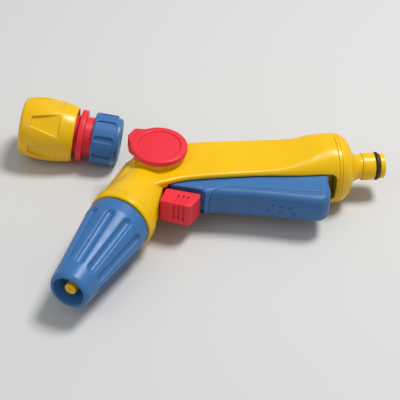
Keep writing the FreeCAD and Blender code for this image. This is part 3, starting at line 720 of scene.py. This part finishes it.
def lock_slider(u, v, z):
    """Lock slider: a rounded block with three thumb grooves, and its rail behind."""
    groove_half, groove_depth, groove_pitch = 0.62, 1.15, 2.9
    plan = outline(u, v, rounded([(-10.5, -5.2, 1.6), (8.6, -6.6, 2.6), (12.15, 3.2, 2.4), (12.15, 7.1, 1.4),
                                  (-9.2, 7.3, 1.4)]))
    block = slab(plan, z, -LOCK_HALF, LOCK_HALF, 1.4)
    for k in range(3):
        line = np.abs(u - (-0.6 + 0.14 * v + groove_pitch * k)) - groove_half
        groove = both(both(line, -block - groove_depth), v - 2.4)
        block = cut(block, both(groove, -4 - z), 0.2)
    return union(block, cuboid(u, v, z, (-8, 5, -5), (9, 9.75, 5), 0.4), 0.3)


def make_trigger():
    low, high = (-135.2, -41.2, -10.2), (-37.4, -11.8, 10.2)
    finish_piece(surface("trigger_lever_skin", trigger_lever, low, high, 0.45, GUN),
                 "nozzle_blue", "trigger", "trigger_lever")
    finish_piece(surface("trigger_grip_skin", trigger_grip, (-114, low[1], low[2]), (-37.4, -23.5, 10.2), 0.4, GUN),
                 "grip_blue", "trigger", "trigger_grip")
    finish_piece(surface("lock_slider_skin", lock_slider, (-11, -7.5, -8.6), (12.8, 10.4, 8.6), 0.25, LOCK),
                 "control_red", "lock", "lock_slider")


# ---- loose connector; COLLAR holds the release collar's (along, radius) knots -----------------
COLLAR = [(0, 15.6), (1, 17.0), (4, 18.45), (9, 19.4), (14, 19.75), (18, 19.7), (25, 19.05), (30, 18.3), (34.2, 17.3)]


def collar(a, y, z):
    """Release collar with six recessed finger pads that widen towards its mouth."""
    r = np.hypot(y, z)
    surface_r = curve(a, COLLAR)
    form = both(both(r - surface_r, -a, 0.8), a - COLLAR_LEN, 1.0)
    inner = lathed(a, r, [(-5, 12.0, 0), (1.2, 12.0, 0), (1.2, 15.0, 0), (11, 15.0, 0), (11, 12.2, 0),
                          (12.4, 12.2, 0), (12.4, 15.8, 0), (40, 15.8, 0), (40, -2, 0), (-5, -2, 0)])
    form = cut(form, inner, 0.3)
    out, side = around(y, z, 6, math.radians(11))
    half = 3.0 + 4.2 * (a - 7.2) / 17.6
    recess = both(both((np.abs(side) - half) * 0.97, np.abs(a - 16.0) - 8.8, 0.6), 17.75 - out)
    return cut(form, recess, 0.7)


def nut(a, y, z):
    """Hose nut with nine grooves."""
    r = np.hypot(y, z)
    form = lathed(a, r, [(NUT_START, 12.45, 0), (NUT_START, 15.5, 0.4), (46.3, 16.15, 0.6), (59.2, 16.15, 0.6),
                         (60.0, 14.8, 0.5), (62.3, 14.3, 0.6), (62.95, 12.4, 0.5), (62.95, 8.25, 0.4),
                         (61.4, 8.25, 0.2), (60.2, 12.9, 0), (52.2, 12.9, 0), (52.2, 12.45, 0)])
    out, side = around(y, z, 9, math.radians(23))
    slot = both(np.hypot(side, np.maximum(np.abs(a - 53.0) - 4.3, 0)) - 1.8, 14.9 - out)
    return cut(form, slot, 0.4)


def latch(a, y, z):
    """Split ring that catches behind the tail's shoulder."""
    ring = slab(np.abs(np.hypot(y, z) - 13.3) - 1.35, a, 5.25, 10.35, 0.3)
    out, side = around(y, z, 4, math.radians(90))
    return cut(ring, cuboid(a, side, out, (4, -1, 9), (8.5, 1, 16)), 0.2)


def collet(a, y, z):
    """Slotted ring that the nut squeezes onto the hose."""
    r = np.hypot(y, z)
    ring = lathed(a, r, [(52.6, 8.65, 0), (52.6, 12.2, 0.2), (54, 12.55, 0.3), (59.5, 11.5, 0.3), (59.5, 8.65, 0.2)])
    out, side = around(y, z, 8, math.radians(90))
    return cut(ring, cuboid(a, side, out, (54.5, -0.8, 8), (61, 0.8, 14)), 0.2)


def make_connector():
    finish_piece(surface("release_collar_skin", collar, (-0.6, -20.4, -20.4), (34.8, 20.4, 20.4), 0.45, CONNECTOR),
                 "yellow_gloss", "collar", "release_collar")
    finish_piece(surface("hose_nut_skin", nut, (44.9, -16.8, -16.8), (63.5, 16.8, 16.8), 0.4, CONNECTOR),
                 "nozzle_blue", "nut", "hose_nut")
    core = [(4, 8.75, 0.3), (4, 11.75, 0.4), (26, 11.75, 0), (26, 15.35, 0.3), (29, 15.35, 0.3), (29, 12.35, 0.3),
            (36.5, 12.35, 0.5), (36.5, 16.3, 0.6), (40.3, 16.3, 0.6), (40.3, 12.35, 0.4), (52, 12.35, 0.3),
            (52, 6.4, 0.3), (54, 6.9, 0.2), (54, 6.3, 0), (56.5, 6.9, 0.2), (56.5, 6.3, 0), (59, 6.8, 0.3),
            (61, 5.8, 0.2), (61, 4.4, 0.2), (42, 4.4, 0), (42, 7.0, 0), (25, 7.0, 0), (25, 5.2, 0.2),
            (24, 5.2, 0.2), (24, 8.2, 0), (20, 8.2, 0), (20, 8.75, 0)]
    finish_piece(turned("connector_body_skin", core, CONNECTOR), "control_red", "connector", "connector_body")
    finish_piece(surface("latch_ring_skin", latch, (4.8, -15.2, -15.2), (10.8, 15.2, 15.2), 0.35, CONNECTOR),
                 "inner_white", "connector", "latch_ring")
    finish_piece(surface("hose_collet_skin", collet, (52.2, -13, -13), (60, 13, 13), 0.35, CONNECTOR),
                 "inner_white", "hose_grip", "hose_collet")


make_body()
make_inlet()
make_knob()
make_nozzle()
make_trigger()
make_connector()

slots = {part["node"]: part["material_slot"] for part in frame["record"]["subparts"]}
for name, node in frame["nodes"].items():
    node.data.materials.clear()
    node.data.materials.append(SLOT_MATERIAL[slots[name]])


# ---- studio ---------------------------------------------------------------------------------
def make_floor():
    size = 3.0
    mesh = bpy.data.meshes.new("floor")
    mesh.from_pydata([(-size, -size, 0), (size, -size, 0), (size, size, 0), (-size, size, 0)], [], [(0, 1, 2, 3)])
    floor = bpy.data.objects.new("floor", mesh)
    bpy.context.scene.collection.objects.link(floor)
    floor.data.materials.append(node_material("floor", (0.62, 0.61, 0.59), 0.75)[0])


def area_light(name, place, aim, size, power):
    data = bpy.data.lights.new(name, "AREA")
    data.shape = "DISK"
    data.size = size
    data.energy = power
    light = bpy.data.objects.new(name, data)
    light.location = place
    light.rotation_euler = (Vector(aim) - Vector(place)).to_track_quat("-Z", "Y").to_euler()
    bpy.context.scene.collection.objects.link(light)


def make_studio():
    make_floor()
    area_light("key", (0.42, 0.18, 1.15), (0, 0, 0.02), 0.40, 12.5)
    area_light("fill", (-0.8, -0.5, 0.9), (0, 0, 0.02), 0.9, 2)
    world = bpy.data.worlds.new("studio")
    world.use_nodes = True
    world.node_tree.nodes["Background"].inputs["Color"].default_value = (0.9, 0.95, 1.0, 1)
    world.node_tree.nodes["Background"].inputs["Strength"].default_value = 0.38
    bpy.context.scene.world = world
    bpy.context.scene.view_settings.view_transform = "Standard"


def make_camera():
    data = bpy.data.cameras.new("camera")
    data.sensor_width = 36
    data.lens = 108
    data.clip_start = 0.01
    camera = bpy.data.objects.new("camera", data)
    camera.location = GUN @ Vector((-212.6, -551.7, 476.2))
    camera.rotation_euler = Euler([math.radians(a) for a in (48.25, -3.44, -7.28)])
    bpy.context.scene.collection.objects.link(camera)
    bpy.context.scene.camera = camera


make_studio()
make_camera()
